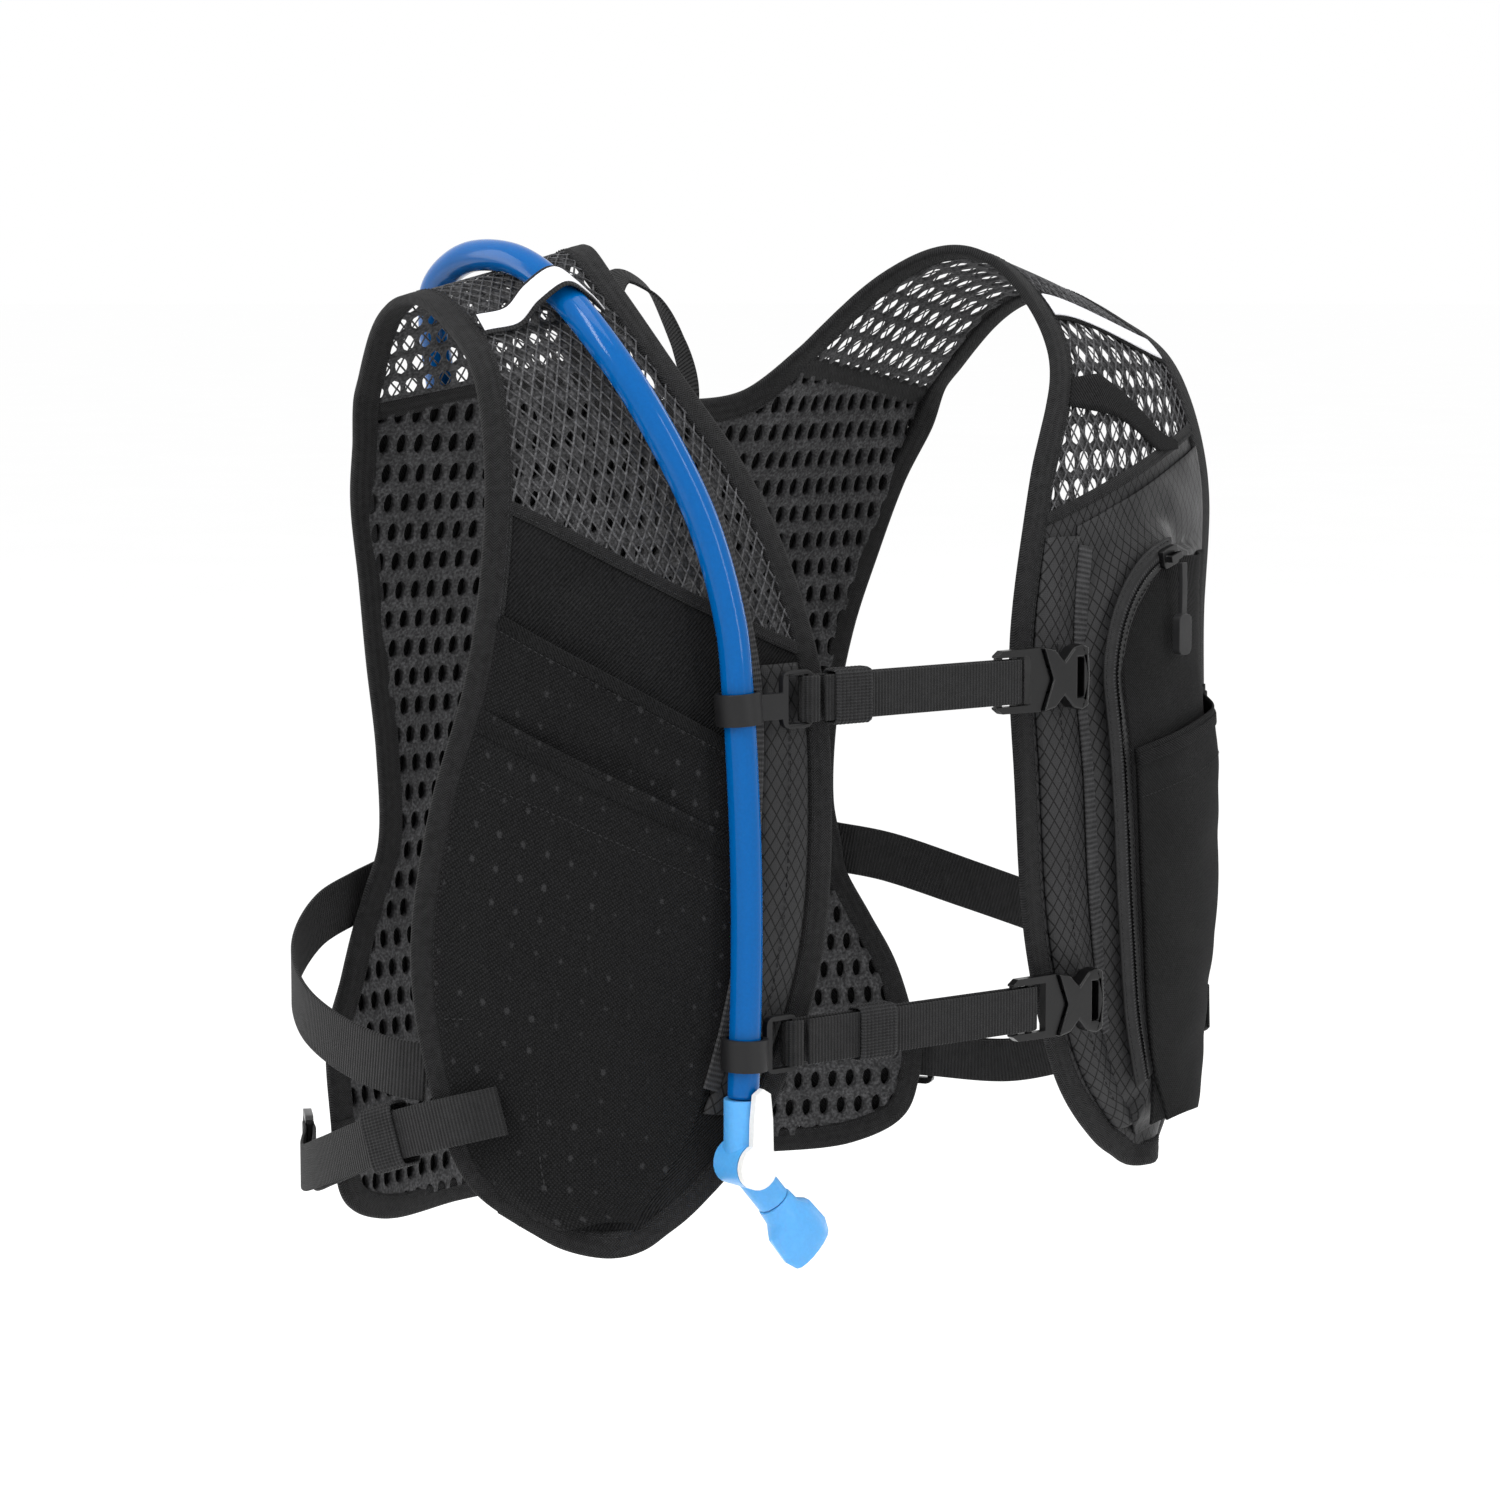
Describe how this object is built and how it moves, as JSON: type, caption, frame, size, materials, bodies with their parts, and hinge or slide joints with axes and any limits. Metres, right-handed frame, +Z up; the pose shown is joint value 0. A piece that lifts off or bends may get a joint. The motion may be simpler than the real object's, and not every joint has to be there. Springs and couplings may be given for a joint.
{
  "type": "hydration vest",
  "caption": "Running hydration vest with mesh shoulders, stretch front pockets, chest and side straps, a zipped rear compartment with reservoir, and a drinking tube with bite valve.",
  "frame": {"origin": "point midway between the two shoulder crowns, at the height where the shoulder mesh rests on the wearer", "axes": "+Z up, -Y the wearer's front, +X the wearer's left"},
  "size_m": [0.3744, 0.2829, 0.3641],
  "materials": {
    "air_mesh": "matte spacer mesh",
    "diamond_mesh": "open diamond knit",
    "stretch_fabric": "dense stretch knit",
    "ripstop": "fine ripstop weave",
    "tape": "woven binding tape",
    "webbing": "ribbed webbing",
    "elastic": "ribbed elastic",
    "foam": "soft foam sheet",
    "gloss_black": "gloss",
    "grey_rubbery": "satin",
    "white_label": "satin",
    "zip_tape": "coated zip",
    "blue_tube": "translucent gloss",
    "valve_blue": "translucent satin",
    "lever_white": "satin",
    "bladder_film": "clear film"
  },
  "bodies": {
    "vest": {"arm_binding_left": "tape", "arm_binding_right": "tape", "back_foam_sheet": "foam", "back_panel_mesh": "air_mesh", "drink_hose": "blue_tube", "front_panel_left": "stretch_fabric", "front_panel_right": "stretch_fabric", "front_zip_track": "zip_tape", "haul_loop": "webbing", "hem_binding": "tape", "hose_connector": "grey_rubbery", "hose_exit_collar": "gloss_black", "hose_loop_tab": "white_label", "hose_port": "gloss_black", "neck_binding": "tape", "phone_pocket_left": "stretch_fabric", "placket_left": "ripstop", "placket_right": "ripstop", "pocket_left_stretch": "stretch_fabric", "pocket_right_lower": "stretch_fabric", "pocket_right_upper": "stretch_fabric", "rail_tape_left": "tape", "rail_tape_right": "tape", "rear_bag_shell": "ripstop", "rear_stash_pocket": "stretch_fabric", "rear_zip_track": "zip_tape", "reservoir_bladder": "bladder_film", "reservoir_collar": "gloss_black", "reservoir_hanger": "webbing", "shoulder_label_left": "white_label", "shoulder_yoke_left": "diamond_mesh", "shoulder_yoke_right": "diamond_mesh", "side_ladder_lock_left": "gloss_black", "side_ladder_lock_right": "gloss_black", "side_strap_lower_left": "webbing", "side_strap_lower_right": "webbing", "side_strap_upper_left": "webbing", "side_strap_upper_right": "webbing"},
    "sternum_upper": {"strap_hook_upper": "grey_rubbery", "buckle_female_upper": "gloss_black"},
    "strap_upper": {"sternum_webbing_upper": "webbing", "buckle_male_upper": "gloss_black"},
    "keeper_upper": {"strap_keeper_upper": "elastic"},
    "sternum_lower": {"strap_hook_lower": "grey_rubbery", "buckle_female_lower": "gloss_black"},
    "strap_lower": {"sternum_webbing_lower": "webbing", "buckle_male_lower": "gloss_black"},
    "keeper_lower": {"strap_keeper_lower": "elastic"},
    "front_slider": {"front_zip_slider": "gloss_black"},
    "front_pull": {"front_zip_pull": "gloss_black"},
    "rear_slider": {"rear_zip_slider": "gloss_black"},
    "rear_pull": {"rear_zip_pull": "gloss_black"},
    "bite_valve": {"bite_valve_elbow": "valve_blue", "bite_mouthpiece": "valve_blue"},
    "valve_lever": {"shutoff_lever": "lever_white"},
    "cap": {"reservoir_cap": "blue_tube"},
    "button": {"connector_button": "blue_tube"},
    "keeper_side_left": {"side_keeper_left": "elastic"},
    "keeper_side_right": {"side_keeper_right": "elastic"}
  },
  "joints": [
    {"name": "upper_strap_on_rail", "type": "slide", "parent": "vest", "child": "sternum_upper", "axis": [-0.0549, 0.0299, 0.998], "range_m": [-0.01, 0.01]},
    {"name": "upper_buckle_release", "type": "slide", "parent": "sternum_upper", "child": "strap_upper", "axis": [-1, 0, 0], "range_m": [0, 0.006]},
    {"name": "upper_keeper_slide", "type": "slide", "parent": "strap_upper", "child": "keeper_upper", "axis": [1, 0, 0], "range_m": [0, 0.025]},
    {"name": "lower_strap_on_rail", "type": "slide", "parent": "vest", "child": "sternum_lower", "axis": [0.026, -0.01, 0.9996], "range_m": [-0.004, 0.01]},
    {"name": "lower_buckle_release", "type": "slide", "parent": "sternum_lower", "child": "strap_lower", "axis": [-1, 0, 0], "range_m": [0, 0.006]},
    {"name": "lower_keeper_slide", "type": "slide", "parent": "strap_lower", "child": "keeper_lower", "axis": [1, 0, 0], "range_m": [-0.01, 0.025]},
    {"name": "front_zip_travel", "type": "hinge", "parent": "vest", "child": "front_slider", "pos_m": [0.12835, -0.09446, -0.15419], "axis": [0.2419, -0.9703, 0], "range_deg": [0, 66]},
    {"name": "front_pull_swing", "type": "hinge", "parent": "front_slider", "child": "front_pull", "pos_m": [0.11964, -0.10353, -0.1115], "axis": [-0.9703, -0.2419, 0], "range_deg": [0, 90]},
    {"name": "rear_zip_travel", "type": "hinge", "parent": "vest", "child": "rear_slider", "pos_m": [0, 0.026, -0.112], "axis": [0, 0, 1], "range_deg": [0, 96]},
    {"name": "rear_pull_swing", "type": "hinge", "parent": "rear_slider", "child": "rear_pull", "pos_m": [0.08167, 0.09954, -0.112], "axis": [0.6691, -0.7431, 0], "range_deg": [0, 90]},
    {"name": "valve_swivel", "type": "hinge", "parent": "vest", "child": "bite_valve", "pos_m": [-0.0864, -0.1068, -0.29], "axis": [0, 0, 1], "range_deg": [-110, 10]},
    {"name": "shutoff_turn", "type": "hinge", "parent": "bite_valve", "child": "valve_lever", "pos_m": [-0.0864, -0.1068, -0.311], "axis": [0, 1, 0], "range_deg": [0, 90]},
    {"name": "cap_turn", "type": "hinge", "parent": "vest", "child": "cap", "pos_m": [0, 0.135, -0.18], "axis": [0, 1, 0], "range_deg": [0, 90]},
    {"name": "button_press", "type": "slide", "parent": "vest", "child": "button", "axis": [0, -1, 0], "range_m": [0, 0.0015], "stiffness_N_per_m": 400},
    {"name": "left_keeper_slide", "type": "slide", "parent": "vest", "child": "keeper_side_left", "axis": [0.1969, 0.9247, -0.3259], "range_m": [-0.0015, 0.004]},
    {"name": "right_keeper_slide", "type": "slide", "parent": "vest", "child": "keeper_side_right", "axis": [-0.1969, 0.9247, -0.3259], "range_m": [-0.0015, 0.004]}
  ]
}
